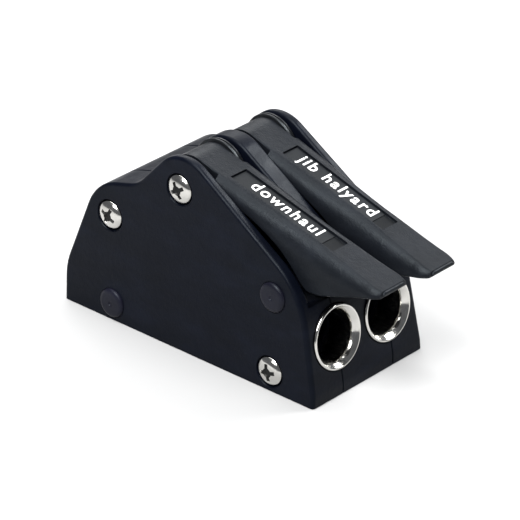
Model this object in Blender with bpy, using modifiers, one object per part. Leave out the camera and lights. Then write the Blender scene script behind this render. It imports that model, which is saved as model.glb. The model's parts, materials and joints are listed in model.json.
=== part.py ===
"""Double rope clutch: two lever-operated cam jammers side by side in one moulded body.

Axes: +X towards the winch end (lever tips), +Y towards the second module, +Z up.
The origin is the centre of the flat underside. Lengths are in millimetres until
they reach Blender, where MM turns them into metres.
"""
import math

import bmesh
import bpy
from mathutils import Matrix, Vector

MM = 0.001
GAP = 0.3                     # room left between pieces that touch

# Body
HALF_LENGTH = 60.8
BASE_HALF_WIDTH = 29.7
SIDE_DRAFT = 0.041            # inward lean of the side walls per unit of height
MODULE_Y = 13.5               # centre of each rope channel, and the parting planes
CAVITY_HALF = 9.7             # half width of each lever slot
SIDE_EDGE = 0.9               # rounding of the outer edges
ROPE_Z = 21.4                 # height of the rope channel's axis
CHANNEL_RADIUS = 8.9
FLOOR_Z = 12.5

# Lever
PIVOT = (-4.5, 63.0)          # x, z of the lever axle
HUB_RADIUS = 10.75
HUB_HALF = 6.6
LEVER_SLOPE = math.radians(15.05)
FAR_LEVER_DIP = math.radians(2.0)   # the second lever rests a little lower
LABEL_START = 13.7            # along the lever from the axle
LABEL_LENGTH = 48.6
LABEL_HALF = 3.75
LABEL_THICK = 0.6
SKIRT_WALL = 2.2              # thickness of the hollow blade's sides
HEEL_HALF = 4.0

# Cam
CAM_PIVOT = (-38.2, 41.5)
CAM_HALF = 6.5
CAM_HUB_RADIUS = 6.0
GRIP_ANGLE = math.radians(34.0)     # from straight down to the gripping point
GRIP_RADIUS = 26.4
TOOTH_DEPTH = 0.8
HORN = (-7.0, 33.1)
HEEL = (-6.0, 39.4)
NOSE_RADIUS = 3.0
TEETH = 15
TOOTH_SPAN = 50.0             # degrees of the grip curve that carry teeth
SPRING_PEG = (-22.0, 38.4)
PEG_RADIUS = 1.3
SPRING_Y = 9.0                # the coil's first turn, out from the module's middle
SPRING_COIL = 5.3
SPRING_WIRE = 0.45
SPRING_TURNS = 1.75

# Jaw plate
JAW_X = -14.0
JAW_LENGTH = 38.0
JAW_HALF = 9.1
JAW_DEPTH = 2.0
JAW_RIBS = 14

# Bearings, in the lever's hub and beside the cam's
BUSH_RADIUS = 5.9
BUSH_HALF = 6.4
WASHER_RADII = {-1.0: 10.2, 1.0: 11.8}       # on the hubs' -Y and +Y faces
WASHER_FACES = (6.95, 9.15)
SPACER_RADIUS = 5.8
SPACER_FACES = (6.9, 9.3)

# Fasteners and guides
AXLE_RADIUS = 4.5
CAM_AXLE_RADIUS = 4.0
TIE_RADIUS = 3.5
AXLE_HALF = 22.9
TIE_HALF = 21.0
TIE_POINT = (40.1, 7.4)
PLUG_POINTS = {"front": (40.5, 36.7), "rear": (-36.7, 6.6)}
SCREW_HEAD_RADIUS = 5.55
SCREW_SHANK_RADIUS = 3.0
SCREWS = {"pivot": (PIVOT, 11.5), "rear": (CAM_PIVOT, 11.5), "front": (TIE_POINT, 15.0)}
THREAD_DEPTH = 9.0
HOLE_END = 10.0               # the side holes run in to this distance from the middle
PLUG_RADIUS = 5.7
PLUG_SHANK = 2.6
RING_RADIUS = 12.1
RING_BORE = 8.7
RING_BARREL = 10.2
RING_LENGTH = 12.0
RINGS = {"front": (57.8, math.radians(9.0)), "rear": (-58.5, math.radians(180.0 - 16.5))}
INSERT_X = 50.0
INSERT_Y = 6.8
INSERT_RADIUS = 4.0
INSERT_TOP = 8.0
SIDES = {"near": -1.0, "far": 1.0}

for leftover in list(bpy.data.objects):
    bpy.data.objects.remove(leftover, do_unlink=True)
parts = bpy.data.collections.new("double_rope_clutch")
cutters = bpy.data.collections.new("cutters")
bpy.context.scene.collection.children.link(parts)
bpy.context.scene.collection.children.link(cutters)


# ---------------------------------------------------------------- materials
def material(name, colour, roughness, metallic=0.0):
    made = bpy.data.materials.new(name)
    made.use_nodes = True
    shader = made.node_tree.nodes["Principled BSDF"]
    shader.inputs["Base Color"].default_value = (*colour, 1.0)
    shader.inputs["Roughness"].default_value = roughness
    shader.inputs["Metallic"].default_value = metallic
    return made


BODY_PLASTIC = ((0.020, 0.021, 0.027), 0.48)
LEVER_PLASTIC = ((0.035, 0.036, 0.042), 0.38)
LABEL_PLASTIC = ((0.012, 0.012, 0.014), 0.55)
BUSH_PLASTIC = ((0.55, 0.53, 0.48), 0.5)
BRIGHT_STEEL = ((0.72, 0.71, 0.69), 0.16, 1.0)
CAST_STEEL = ((0.45, 0.45, 0.46), 0.36, 1.0)
BRASS = ((0.62, 0.47, 0.24), 0.34, 1.0)


# ---------------------------------------------------------------- outlines
def arc(centre, radius, start, end, steps):
    """Points on an arc in the XZ plane, angles in degrees from +X."""
    points = []
    for step in range(steps + 1):
        angle = math.radians(start + (end - start) * step / steps)
        points.append((centre[0] + radius * math.cos(angle), centre[1] + radius * math.sin(angle)))
    return points


def rounded(corners, step_degrees=11.0):
    """A closed outline from (x, z, radius) corners, each corner filleted by its radius."""
    outline = []
    for index, (x, z, radius) in enumerate(corners):
        corner = Vector((x, z))
        if radius == 0:
            outline.append((x, z))
            continue
        back = (Vector(corners[index - 1][:2]) - corner).normalized()
        ahead = (Vector(corners[(index + 1) % len(corners)][:2]) - corner).normalized()
        half = back.angle(ahead) / 2
        centre = corner + (back + ahead).normalized() * radius / math.sin(half)
        first = corner + back * radius / math.tan(half) - centre
        turn = math.pi - 2 * half
        if first.x * ahead.y - first.y * ahead.x < 0:
            turn = -turn
        steps = max(2, round(math.degrees(abs(turn)) / step_degrees))
        for step in range(steps + 1):
            angle = turn * step / steps
            spun = Matrix.Rotation(angle, 2) @ first
            outline.append(tuple(centre + spun))
    return outline


BODY_OUTLINE = rounded([
    (-HALF_LENGTH, 0.0, 0), (-HALF_LENGTH, 14.5, 26.0), (-46.0, 52.2, 20.0), (-25.7, 57.9, 12.0),
    (-5.0, 80.1, 15.5), (53.75, 42.0, 34.0), (HALF_LENGTH, 4.0, 15.0), (HALF_LENGTH, 0.0, 0)])
CHAMBER_OUTLINE = rounded([
    (-44.0, FLOOR_Z, 0), (30.0, FLOOR_Z, 0), (30.0, 42.4, 2.0), (70.0, 34.4, 0), (90.0, 100.0, 0),
    (-16.0, 100.0, 0), (-23.0, 59.0, 1.0), (-26.6, 54.2, 3.0), (-39.6, 49.9, 6.0),
    (-46.6, 42.0, 6.0), (-44.0, 31.0, 2.0)])


# ---------------------------------------------------------------- object makers
def add(name, mesh, look, collection=parts):
    """Link a mesh as a named object that has its own material."""
    made = bpy.data.objects.new(name, mesh)
    mesh.name = name
    mesh.materials.clear()
    if look:
        mesh.materials.append(material(name, *look))
    collection.objects.link(made)
    return made


def plate(name, outline, low, high, look=None, collection=parts):
    """An outline in XZ, extruded along Y from low to high."""
    curve = bpy.data.curves.new(name, "CURVE")
    curve.dimensions = "2D"
    curve.fill_mode = "BOTH"
    curve.extrude = (high - low) / 2 * MM
    spline = curve.splines.new("POLY")
    spline.points.add(len(outline) - 1)
    for point, (x, z) in zip(spline.points, outline):
        point.co = (x * MM, z * MM, 0.0, 1.0)
    spline.use_cyclic_u = True
    drawn = bpy.data.objects.new(name + "_outline", curve)
    drawn.rotation_euler = (math.pi / 2, 0.0, 0.0)
    drawn.location = (0.0, (low + high) / 2 * MM, 0.0)
    bpy.context.scene.collection.objects.link(drawn)
    bpy.context.view_layer.update()
    mesh = bpy.data.meshes.new_from_object(drawn.evaluated_get(bpy.context.evaluated_depsgraph_get()))
    mesh.transform(drawn.matrix_world)
    bpy.data.objects.remove(drawn)
    close_mesh(mesh)
    return add(name, mesh, look, collection)


def close_mesh(mesh):
    """Weld the caps to the walls and turn every face outwards."""
    cage = bmesh.new()
    cage.from_mesh(mesh)
    bmesh.ops.remove_doubles(cage, verts=cage.verts, dist=0.00001)
    bmesh.ops.recalc_face_normals(cage, faces=cage.faces)
    cage.to_mesh(mesh)
    cage.free()


def turned(name, profile, look=None, steps=24, collection=parts, closed=False):
    """A profile of (radius, height) pairs, top to bottom, turned about Z."""
    mesh = bpy.data.meshes.new(name)
    edges = [(index, index + 1) for index in range(len(profile) - 1)]
    if closed:
        edges.append((len(profile) - 1, 0))
    mesh.from_pydata([(radius * MM, 0.0, height * MM) for radius, height in profile], edges, [])
    made = add(name, mesh, look, collection)
    screw = made.modifiers.new("Turn", "SCREW")
    screw.axis = "Z"
    screw.steps = steps
    screw.render_steps = steps
    screw.use_merge_vertices = True
    screw.merge_threshold = 0.00001
    screw.use_smooth_shade = True
    return made


def aim(made, x, y, z, direction):
    """Put a turned piece's origin at x, y, z and its +Z along a direction."""
    made.location = (x * MM, y * MM, z * MM)
    made.rotation_euler = Vector(direction).to_track_quat("Z", "Y").to_euler()
    return made


def rod(name, radius, length, look=None, steps=24, collection=parts):
    """A plain round bar centred on its own origin, along Z."""
    profile = [(0.0, length / 2), (radius, length / 2), (radius, -length / 2), (0.0, -length / 2)]
    return turned(name, profile, look, steps, collection)


def tube(name, outer, inner, low, high, look, steps=24):
    """A round tube along Z between two heights."""
    return turned(name, [(outer, high), (outer, low), (inner, low), (inner, high)], look, steps,
                  closed=True)


def box(name, size, centre, look=None, collection=parts, tilt=0.0):
    """A box with its size in the mesh, tilted about Y."""
    cage = bmesh.new()
    bmesh.ops.create_cube(cage, size=1.0)
    bmesh.ops.scale(cage, vec=Vector(size) * MM, verts=cage.verts)
    mesh = bpy.data.meshes.new(name)
    cage.to_mesh(mesh)
    cage.free()
    made = add(name, mesh, look, collection)
    made.location = Vector(centre) * MM
    made.rotation_euler = (0.0, tilt, 0.0)
    return made


def as_cutter(made):
    made.hide_render = True
    made.display_type = "WIRE"
    return made


def change(target, tool, operation="DIFFERENCE"):
    """Cut one object by another, or join it on; the tool is a guide and isn't a part."""
    as_cutter(tool)
    step = target.modifiers.new(operation.title(), "BOOLEAN")
    step.operation = operation
    step.object = tool
    step.solver = "EXACT"


def round_bar(name, radius, x, z, low, high, steps=24):
    """A cutter along Y between two y values."""
    bar = rod(name, radius, high - low, steps=steps, collection=cutters)
    return aim(bar, x, (low + high) / 2, z, (0, 1, 0))


# ---------------------------------------------------------------- body mouldings
def half_width(z):
    """Outer half width of the body at a height."""
    return BASE_HALF_WIDTH - SIDE_DRAFT * z


def lean_sides(mesh, side):
    """Give the outer face its draft: it leans in towards the top."""
    for vertex in mesh.vertices:
        if vertex.co.y * side > (BASE_HALF_WIDTH - 1) * MM:
            vertex.co.y = side * half_width(vertex.co.z / MM) * MM


def round_outer_edges(made):
    """Round the outline's edges on the outer face, but not along the underside."""
    weights = made.data.attributes.new("bevel_weight_edge", "FLOAT", "EDGE")
    for edge, weight in zip(made.data.edges, weights.data):
        ends = [made.data.vertices[index].co for index in edge.vertices]
        outside = min(abs(end.y) for end in ends) > (MODULE_Y + 2) * MM
        above_base = max(end.z for end in ends) > 0.1 * MM
        weight.value = 1.0 if outside and above_base else 0.0
    bevel = made.modifiers.new("Outer_rounding", "BEVEL")
    bevel.width = SIDE_EDGE * MM
    bevel.segments = 2
    bevel.limit_method = "WEIGHT"


def ring_direction(end):
    """The way a rope ring faces: along its axis, out of the body."""
    return Vector((math.cos(RINGS[end][1]), 0.0, abs(math.sin(RINGS[end][1]))))


def cut_rope_way(moulding, side_name, tag):
    """Chamber, tunnel, ring seats and jaw seat of one module, cut out of one moulding."""
    side = SIDES[side_name]
    centre = side * MODULE_Y
    chamber = plate("chamber_" + tag, CHAMBER_OUTLINE, centre - CAVITY_HALF, centre + CAVITY_HALF,
                    collection=cutters)
    change(moulding, chamber)
    tunnel = rod("tunnel_" + tag, CHANNEL_RADIUS, 108.0, collection=cutters)
    change(moulding, aim(tunnel, 0.0, centre, ROPE_Z, (1, 0, 0)))
    for end, (x, _) in RINGS.items():
        seat = turned("ring_seat_%s_%s" % (end, tag), [
            (0.0, 9.0), (RING_RADIUS + GAP, 9.0), (RING_RADIUS + GAP, -2.0 - GAP),
            (RING_BARREL + GAP, -2.0 - GAP), (RING_BARREL + GAP, -RING_LENGTH - GAP),
            (0.0, -RING_LENGTH - GAP)], collection=cutters, steps=28)
        change(moulding, aim(seat, x, centre, ROPE_Z, ring_direction(end)))
    size = (JAW_LENGTH + 2 * GAP, 2 * (JAW_HALF + GAP), 2 * JAW_DEPTH)
    jaw_seat = box("jaw_seat_" + tag, size, (JAW_X, centre, FLOOR_Z), collection=cutters)
    change(moulding, jaw_seat)


def side_shell(side_name):
    """One outer moulding: side wall, and its half of floor, ends and rear roof."""
    side = SIDES[side_name]
    inner = side * (MODULE_Y + GAP / 2)
    outer = side * BASE_HALF_WIDTH
    shell = plate("side_shell_" + side_name, BODY_OUTLINE, min(inner, outer), max(inner, outer),
                  BODY_PLASTIC)
    lean_sides(shell.data, side)
    round_outer_edges(shell)
    tag = "shell_" + side_name
    cut_rope_way(shell, side_name, tag)
    for name, (point, _) in SCREWS.items():
        face = half_width(point[1])
        profile = [(0.0, 3.0), (SCREW_HEAD_RADIUS + GAP, 3.0), (SCREW_HEAD_RADIUS + GAP, -0.5),
                   (SCREW_SHANK_RADIUS + GAP, -2.4)]
        if name == "front":
            pocket = TIE_HALF + GAP - face
            profile += [(SCREW_SHANK_RADIUS + GAP, pocket), (TIE_RADIUS + GAP, pocket)]
        end_radius = profile[-1][0]
        profile += [(end_radius, HOLE_END - face), (0.0, HOLE_END - face)]
        hole = turned("%s_screw_hole_%s" % (name, tag), profile, steps=20, collection=cutters)
        change(shell, aim(hole, point[0], side * face, point[1], (0, side, 0)))
    for name, (x, z) in PLUG_POINTS.items():
        face = half_width(z)
        seat = turned("%s_plug_hole_%s" % (name, tag), [
            (0.0, 3.0), (PLUG_RADIUS + GAP, 3.0), (PLUG_RADIUS + GAP, -1.8), (PLUG_SHANK + GAP, -1.8),
            (PLUG_SHANK + GAP, HOLE_END - face), (0.0, HOLE_END - face)], steps=20, collection=cutters)
        change(shell, aim(seat, x, side * face, z, (0, side, 0)))
    return shell


def centre_body():
    """The middle moulding: the divider, and its half of each module's floor and ends."""
    half = MODULE_Y - GAP / 2
    body = plate("centre_body", BODY_OUTLINE, -half, half, BODY_PLASTIC)
    for side_name in SIDES:
        cut_rope_way(body, side_name, "centre_" + side_name)
    bars = {"lever_axle": (PIVOT, AXLE_RADIUS), "cam_axle": (CAM_PIVOT, CAM_AXLE_RADIUS),
            "tie_rod": (TIE_POINT, TIE_RADIUS)}
    for name, ((x, z), radius) in bars.items():
        change(body, round_bar(name + "_hole", radius + GAP, x, z, -40.0, 40.0))
    for name, (x, z) in PLUG_POINTS.items():
        for side_name, side in SIDES.items():
            change(body, round_bar("%s_plug_socket_%s" % (name, side_name), PLUG_SHANK + GAP, x, z,
                                   *sorted((side * 7.7, side * 40.0)), steps=20))
    for x, y, tag in insert_places():
        hole = rod("insert_hole_" + tag, INSERT_RADIUS + GAP, 2 * (INSERT_TOP + GAP), collection=cutters)
        change(body, aim(hole, x, y, 0.0, (0, 0, 1)))
    return body


def insert_places():
    """Where the four threaded deck inserts sit in the underside."""
    for end, along in (("front", 1.0), ("rear", -1.0)):
        for side_name, side in SIDES.items():
            yield along * INSERT_X, side * INSERT_Y, end + "_" + side_name


# ---------------------------------------------------------------- lever
def lever_top(x):
    """Height of the lever's flat top above a point x, tangent to the hub."""
    along = (x - PIVOT[0]) * math.sin(LEVER_SLOPE)
    return PIVOT[1] + (HUB_RADIUS - along) / math.cos(LEVER_SLOPE)


# Each section of the lever's blade: x, half width of the flat top, fullness of the flank's
# curve, its depth, full half width, and height of the lower rim. Behind x = 48 the rim
# follows the body's roof; ahead of it the blade hangs over the slot's front sill.
BLADE = [
    (8.2, 6.0, 0.4, 2.8, 9.4, 61.6), (14.0, 5.3, 0.5, 3.6, 9.4, 61.6),
    (22.0, 4.6, 0.55, 4.2, 9.4, 61.0), (31.0, 4.2, 0.55, 5.4, 9.4, 57.2),
    (40.0, 4.2, 0.55, 7.0, 9.4, 51.6), (44.5, 4.2, 0.55, 7.6, 9.4, 47.4),
    (48.0, 4.2, 0.55, 7.9, 9.4, 43.4), (50.5, 4.2, 0.55, 8.0, 9.4, 41.1),
    (54.5, 4.4, 0.55, 7.8, 9.4, 40.6), (61.0, 4.8, 0.5, 7.0, 9.35, 42.0),
    (68.0, 5.1, 0.45, 6.0, 9.2, 44.3), (75.0, 5.6, 0.4, 4.4, 8.8, 46.4),
    (80.5, 5.9, 0.35, 2.6, 8.1, 47.8), (82.6, 5.4, 0.3, 1.7, 6.9, 48.3),
    (83.4, 4.6, 0.3, 1.2, 5.8, 48.6)]


def blade_half(top, flat, swell, depth, full, rim, inset):
    """Half a section of the blade from the top's middle to its lower rim, as (y, z)."""
    flat = max(flat - inset * 0.5, 0.8)
    full = full - inset
    top = top - inset * 1.3
    wide = full - flat
    points = [(0.0, top), (flat, top)]
    for share in (0.2, 0.4, 0.6, 0.8, 1.0):
        rest = 1 - share
        y = flat + wide * (3 * share * rest ** 2 * swell + 3 * share ** 2 * rest + share ** 3)
        z = top - depth * (3 * share ** 2 * rest * (1 - swell) + share ** 3)
        points.append((y, z))
    points.append((full, min(rim, top - depth - 0.2)))
    return points


def blade(name, sections, inset=0.0, floor=None, collection=parts, look=None):
    """The lever's blade as a loft along X, or the hollow under it."""
    cage = bmesh.new()
    rings = []
    for x, *shape, rim in sections:
        low = rim if floor is None else floor
        half = blade_half(lever_top(x), *shape, low, inset)
        loop = [(y, z) for y, z in reversed(half)] + [(-y, z) for y, z in half[1:]]
        rings.append([cage.verts.new(Vector((x, y, z)) * MM) for y, z in loop])
    for first, second in zip(rings, rings[1:]):
        for index in range(len(first)):
            ahead = (index + 1) % len(first)
            cage.faces.new((first[index], first[ahead], second[ahead], second[index]))
    cage.faces.new(rings[0])
    cage.faces.new(rings[-1])
    bmesh.ops.recalc_face_normals(cage, faces=cage.faces)
    mesh = bpy.data.meshes.new(name)
    cage.to_mesh(mesh)
    cage.free()
    return add(name, mesh, look, collection)


def hub_outline():
    """Hub and neck seen from the side: round behind, flat on top as far as the blade."""
    outline = arc(PIVOT, HUB_RADIUS, 75.0, 290.0, 24)
    outline += [(13.0, 55.0), (13.0, lever_top(13.0) - 0.4)]
    return outline


def heel_outline():
    """The heel under the hub that presses the cam down."""
    return [(-13.0, 57.0)] + arc(HEEL, NOSE_RADIUS, 185.0, 350.0, 10) + [(1.5, 52.0), (4.0, 57.0)]


def lever(side_name):
    """One lever: hub, hollow blade and heel, with its origin on the axle."""
    side = SIDES[side_name]
    made = blade("lever_" + side_name, BLADE, look=LEVER_PLASTIC)
    inside = [row for row in BLADE if 14.0 <= row[0] <= 75.0]
    change(made, blade("lever_hollow_" + side_name, inside, SKIRT_WALL, 30.0, cutters))
    hub = plate("lever_hub_" + side_name, hub_outline(), -HUB_HALF, HUB_HALF, collection=cutters)
    change(made, hub, "UNION")
    heel = plate("lever_heel_" + side_name, heel_outline(), -HEEL_HALF, HEEL_HALF,
                 collection=cutters)
    change(made, heel, "UNION")
    bore = round_bar("lever_bore_" + side_name, BUSH_RADIUS + GAP, *PIVOT, -20.0, 20.0)
    change(made, bore)
    recess = label_box("label_recess_" + side_name, GAP, cutters)
    change(made, recess)
    place_on_axle([made, hub, heel, bore, recess, bpy.data.objects["lever_hollow_" + side_name]], side)
    return made


def label_box(name, room, collection, look=None):
    """The long plate let into the lever's top, or with room the recess for it."""
    depth = LABEL_THICK + (1.6 if room else 0.0)
    along = LABEL_START + LABEL_LENGTH / 2
    rise = HUB_RADIUS - (LABEL_THICK + room) + depth / 2
    x = PIVOT[0] + along * math.cos(LEVER_SLOPE) + rise * math.sin(LEVER_SLOPE)
    z = PIVOT[1] - along * math.sin(LEVER_SLOPE) + rise * math.cos(LEVER_SLOPE)
    size = (LABEL_LENGTH + 2 * room, 2 * (LABEL_HALF + room), depth)
    return box(name, size, (x, 0.0, z), look, collection, LEVER_SLOPE)


def place_on_axle(objects, side):
    """Hang a lever's objects on an empty on the axle, at the module's place and rest angle."""
    if side < 0:
        name, dip = "lever_axis_near", 0.0
    else:
        name, dip = "lever_axis_far", FAR_LEVER_DIP
    axis = bpy.data.objects.get(name)
    if axis is None:
        axis = bpy.data.objects.new(name, None)
        axis.location = (PIVOT[0] * MM, side * MODULE_Y * MM, PIVOT[1] * MM)
        axis.rotation_euler = (0.0, dip, 0.0)
        parts.objects.link(axis)
    for piece in objects:
        piece.parent = axis
        piece.matrix_parent_inverse = Matrix.Translation((-PIVOT[0] * MM, 0.0, -PIVOT[1] * MM))


# ---------------------------------------------------------------- cam and jaw
def grip_point(degrees, lift=0.0):
    """A point on the cam's growing grip curve, by its angle from straight down."""
    angle = math.radians(degrees)
    radius = GRIP_RADIUS * math.exp(math.tan(GRIP_ANGLE) * (angle - GRIP_ANGLE)) - lift
    return (CAM_PIVOT[0] + radius * math.sin(angle), CAM_PIVOT[1] - radius * math.cos(angle))


def cam_outline():
    """Round hub behind, toothed grip curve below, rounded horn in front."""
    outline = arc(CAM_PIVOT, CAM_HUB_RADIUS, 75.0, 200.0, 12)
    outline.append(grip_point(7.0, TOOTH_DEPTH))
    pitch = TOOTH_SPAN / TEETH
    first = 12.0
    for tooth in range(TEETH):
        start = first + pitch * tooth
        outline.append(grip_point(start, 0.0))
        outline.append(grip_point(start + 0.3 * pitch, TOOTH_DEPTH))
    outline.append(grip_point(first + TOOTH_SPAN, TOOTH_DEPTH))
    outline += arc(HORN, NOSE_RADIUS, 0.0, 100.0, 8)
    return outline


def cam(side_name):
    """One toothed cam, turning on the rear axle."""
    centre = SIDES[side_name] * MODULE_Y
    made = plate("cam_" + side_name, cam_outline(), centre - CAM_HALF, centre + CAM_HALF, CAST_STEEL)
    change(made, round_bar("cam_bore_" + side_name, CAM_AXLE_RADIUS + GAP, *CAM_PIVOT,
                           centre - 20.0, centre + 20.0))
    peg = round_bar("cam_peg_" + side_name, PEG_RADIUS, *SPRING_PEG, centre, centre + CAM_HALF + 2.4, 16)
    change(made, peg, "UNION")
    return made


def cam_spring(side_name):
    """Torsion spring beside the cam's hub: its lower leg lifts the cam's peg."""
    y = SIDES[side_name] * MODULE_Y + SPRING_Y
    count = round(SPRING_TURNS * 14)
    route = [(CAM_PIVOT[0] + 17.5, y, CAM_PIVOT[1] - SPRING_COIL)]
    for step in range(count + 1):
        angle = -math.pi / 2 - 2 * math.pi * SPRING_TURNS * step / count
        route.append((CAM_PIVOT[0] + SPRING_COIL * math.cos(angle), y - 1.9 * step / count,
                      CAM_PIVOT[1] + SPRING_COIL * math.sin(angle)))
    last = route[-1]
    route.append((last[0] + 0.6, last[1], last[2] - 8.0))
    curve = bpy.data.curves.new("cam_spring_" + side_name, "CURVE")
    curve.dimensions = "3D"
    curve.bevel_depth = SPRING_WIRE * MM
    curve.bevel_resolution = 1
    curve.use_fill_caps = True
    spline = curve.splines.new("POLY")
    spline.points.add(len(route) - 1)
    for point, place in zip(spline.points, route):
        point.co = (*(Vector(place) * MM), 1.0)
    made = bpy.data.objects.new("cam_spring_" + side_name, curve)
    curve.materials.append(material("cam_spring_" + side_name, *BRIGHT_STEEL))
    parts.objects.link(made)
    return made


def jaw_plate(side_name):
    """Ribbed steel plate in the floor, under the cam's teeth."""
    centre = SIDES[side_name] * MODULE_Y
    low = FLOOR_Z - JAW_DEPTH + GAP
    valley = FLOOR_Z + 0.2
    rear, front = JAW_X - JAW_LENGTH / 2, JAW_X + JAW_LENGTH / 2
    outline = [(rear, low), (front, low), (front, valley)]
    for rib in range(JAW_RIBS):
        x = front - JAW_LENGTH * (rib + 0.5) / JAW_RIBS
        outline += [(x + 1.0, valley), (x, valley + 0.7), (x - 1.0, valley)]
    outline.append((rear, valley))
    return plate("jaw_plate_" + side_name, outline, centre - JAW_HALF, centre + JAW_HALF, CAST_STEEL)


# ---------------------------------------------------------------- rope rings
def ring_profile():
    """Bell-mouthed bush: flange with a rounded lip that runs into the bore."""
    lip = 3.2
    mouth = []
    for step in range(6):
        angle = math.radians(90.0 + 90.0 * step / 5)
        mouth.append((RING_BORE + lip + lip * math.cos(angle), lip * math.sin(angle) - lip + 0.6))
    return mouth[::-1] + [(RING_RADIUS, 0.1), (RING_RADIUS, -2.0), (RING_BARREL, -2.0),
                          (RING_BARREL, -RING_LENGTH), (RING_BORE, -RING_LENGTH)]


def rope_ring(end, side_name):
    """One bright bush, in its seat across the parting plane."""
    made = turned("rope_ring_%s_%s" % (end, side_name), ring_profile(), BRIGHT_STEEL, 28, closed=True)
    return aim(made, RINGS[end][0], SIDES[side_name] * MODULE_Y, ROPE_Z, ring_direction(end))


# ---------------------------------------------------------------- axles, screws and small parts
def through_bar(name, point, radius, half, look=CAST_STEEL):
    """A bar across all three mouldings, with a tapped hole in each end."""
    tapped = SCREW_SHANK_RADIUS + GAP
    made = rod(name, radius, 2 * half, look)
    aim(made, point[0], 0.0, point[1], (0, 1, 0))
    for side_name, side in SIDES.items():
        change(made, round_bar("%s_thread_%s" % (name, side_name), tapped, *point,
                               *sorted((side * (half - THREAD_DEPTH), side * (half + 5.0))), steps=20))
    return made


def side_screw(kind, side_name):
    """Raised countersunk screw with a cross recess, driven in from the side."""
    side = SIDES[side_name]
    (x, z), length = SCREWS[kind]
    name = "%s_screw_%s" % (kind, side_name)
    profile = [(0.0, 1.5), (1.8, 1.4), (3.4, 1.0), (4.7, 0.4), (SCREW_HEAD_RADIUS, -0.3),
               (SCREW_HEAD_RADIUS, -0.6), (SCREW_SHANK_RADIUS, -2.2),
               (SCREW_SHANK_RADIUS, 0.4 - length), (SCREW_SHANK_RADIUS - 0.6, -length), (0.0, -length)]
    made = turned(name, profile, BRIGHT_STEEL, 16)
    outward = (0, side, 0)
    aim(made, x, side * half_width(z), z, outward)
    for index, size in enumerate(((5.0, 1.15, 3.2), (1.15, 5.0, 3.2))):
        slot = box("%s_slot_%d" % (name, index), size, (0, 0, 0), collection=cutters)
        slot.location = Vector((x, side * (half_width(z) + 0.9), z)) * MM
        turn = Matrix.Rotation(math.radians(20.0), 4, "Y")
        slot.rotation_euler = (turn @ Vector(outward).to_track_quat("Z", "Y").to_matrix().to_4x4()).to_euler()
        change(made, slot)
    return made


def locating_plug(end, side_name):
    """Moulded dowel with a low round head, keying a side shell to the middle moulding."""
    side = SIDES[side_name]
    x, z = PLUG_POINTS[end]
    face = half_width(z)
    profile = [(0.0, 1.1), (4.8, 1.1), (PLUG_RADIUS, 0.4), (PLUG_RADIUS, -1.5), (PLUG_SHANK, -1.5),
               (PLUG_SHANK, 8.3 - face), (2.2, 8.0 - face), (0.0, 8.0 - face)]
    made = turned("locating_plug_%s_%s" % (end, side_name), profile, BODY_PLASTIC, 16)
    return aim(made, x, side * face, z, (0, side, 0))


def deck_insert(x, y, tag):
    """Threaded brass insert for a deck bolt, open at the underside."""
    tapped = 2.5
    foot = 0.2
    profile = [(0.0, INSERT_TOP), (INSERT_RADIUS, INSERT_TOP), (INSERT_RADIUS, foot), (tapped, foot),
               (tapped, INSERT_TOP - 1.5), (0.0, INSERT_TOP - 1.5)]
    made = turned("deck_insert_" + tag, profile, BRASS, 16)
    return aim(made, x, y, 0.0, (0, 0, 1))


# ---------------------------------------------------------------- assembly
for shell_side in SIDES:
    side_shell(shell_side)
centre_body()
for module, module_side in SIDES.items():
    module_y = module_side * MODULE_Y
    lever(module)
    place_on_axle([label_box("label_" + module, 0.0, parts, LABEL_PLASTIC)], module_side)
    bore = AXLE_RADIUS + GAP
    sleeve = tube("lever_bush_" + module, BUSH_RADIUS, bore, -BUSH_HALF, BUSH_HALF, BUSH_PLASTIC)
    aim(sleeve, PIVOT[0], module_y, PIVOT[1], (0, 1, 0))
    for place, facing in (("inner", -module_side), ("outer", module_side)):
        ends = sorted(facing * face for face in WASHER_FACES)
        radius = WASHER_RADII[facing]
        washer = tube("hub_washer_%s_%s" % (module, place), radius, bore, *ends, BUSH_PLASTIC)
        aim(washer, PIVOT[0], module_y, PIVOT[1], (0, 1, 0))
    cam(module)
    cam_spring(module)
    ends = sorted(-face for face in SPACER_FACES)
    spacer = tube("cam_spacer_" + module, SPACER_RADIUS, CAM_AXLE_RADIUS + GAP, *ends, BUSH_PLASTIC)
    aim(spacer, CAM_PIVOT[0], module_y, CAM_PIVOT[1], (0, 1, 0))
    jaw_plate(module)
    for ring_end in RINGS:
        rope_ring(ring_end, module)
    for screw_kind in SCREWS:
        side_screw(screw_kind, module)
    for plug_end in PLUG_POINTS:
        locating_plug(plug_end, module)
through_bar("lever_axle", PIVOT, AXLE_RADIUS, AXLE_HALF)
through_bar("cam_axle", CAM_PIVOT, CAM_AXLE_RADIUS, AXLE_HALF)
through_bar("tie_rod", TIE_POINT, TIE_RADIUS, TIE_HALF)
for insert_x, insert_y, insert_tag in insert_places():
    deck_insert(insert_x, insert_y, insert_tag)
for piece in parts.objects:
    if piece.type == "MESH":
        piece.data.shade_smooth()
        piece.data.set_sharp_from_angle(angle=math.radians(35.0))
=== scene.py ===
import json
import math

import bmesh
import bpy
import numpy as np
from mathutils import Matrix, Vector


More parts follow.
